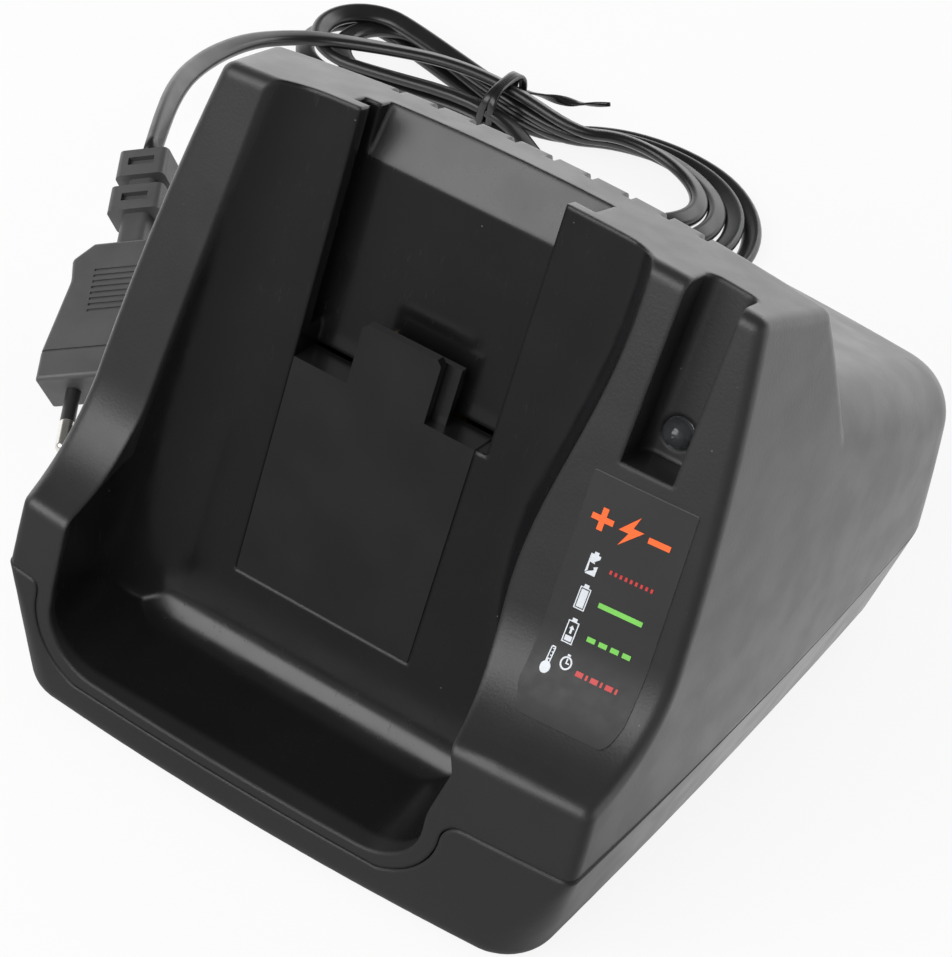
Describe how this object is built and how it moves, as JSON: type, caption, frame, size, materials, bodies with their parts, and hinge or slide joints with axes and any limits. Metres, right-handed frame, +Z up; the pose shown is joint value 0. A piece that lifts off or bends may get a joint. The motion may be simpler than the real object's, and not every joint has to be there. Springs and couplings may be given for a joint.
{
  "type": "power tool battery charger",
  "caption": "Desktop charger for a slide-in power tool battery: wedge housing with a tilted battery bay, guide rails, lamp slot, status label and a tied mains cord with a flat two-pin plug.",
  "frame": {"origin": "on the table, under the middle of the housing", "axes": "+Z up, +X the charger's right-hand side as a user faces the battery bay, +Y to the back, where the cord leaves"},
  "size_m": [0.2669, 0.3109, 0.1529],
  "materials": {
    "housing_black": "fine moulded grain outside, smoother in the bay",
    "terminal_plastic": "smooth moulded",
    "contact_metal": "bright",
    "label_film": "printed film",
    "clear_lens": "clear",
    "circuit_board": "solder mask",
    "ferrite": "sintered",
    "coil_tape": "tape",
    "capacitor_sleeve": "sleeve",
    "aluminium": "extruded",
    "fuse_body": "clear",
    "lead_insulation": "smooth",
    "foot_rubber": "matt",
    "screw_steel": "zinc plated",
    "cord_pvc": "satin",
    "tie_plastic": "satin",
    "plug_pvc": "satin",
    "pin_nickel": "nickel plated"
  },
  "bodies": {
    "root": {"top_housing": "housing_black", "base_housing": "housing_black", "terminal_block": "terminal_plastic", "contact_blades": "contact_metal", "status_label": "label_film", "led_lens": "clear_lens", "led": "clear_lens", "main_board": "circuit_board", "transformer_core": "ferrite", "transformer_coil": "coil_tape", "bulk_capacitor": "capacitor_sleeve", "output_capacitors": "capacitor_sleeve", "heat_sink": "aluminium", "power_transistors": "terminal_plastic", "fuse": "fuse_body", "choke": "coil_tape", "mains_terminal": "terminal_plastic", "terminal_leads": "lead_insulation", "rubber_feet": "foot_rubber", "board_screws": "screw_steel", "case_screws": "screw_steel", "cord_grommet": "cord_pvc", "cord_lead": "cord_pvc", "cord_to_plug": "cord_pvc", "cord_hank": "cord_pvc", "cord_tie": "tie_plastic", "plug_strain_relief": "plug_pvc", "plug_body": "plug_pvc", "plug_pins": "pin_nickel"}
  },
  "joints": []
}
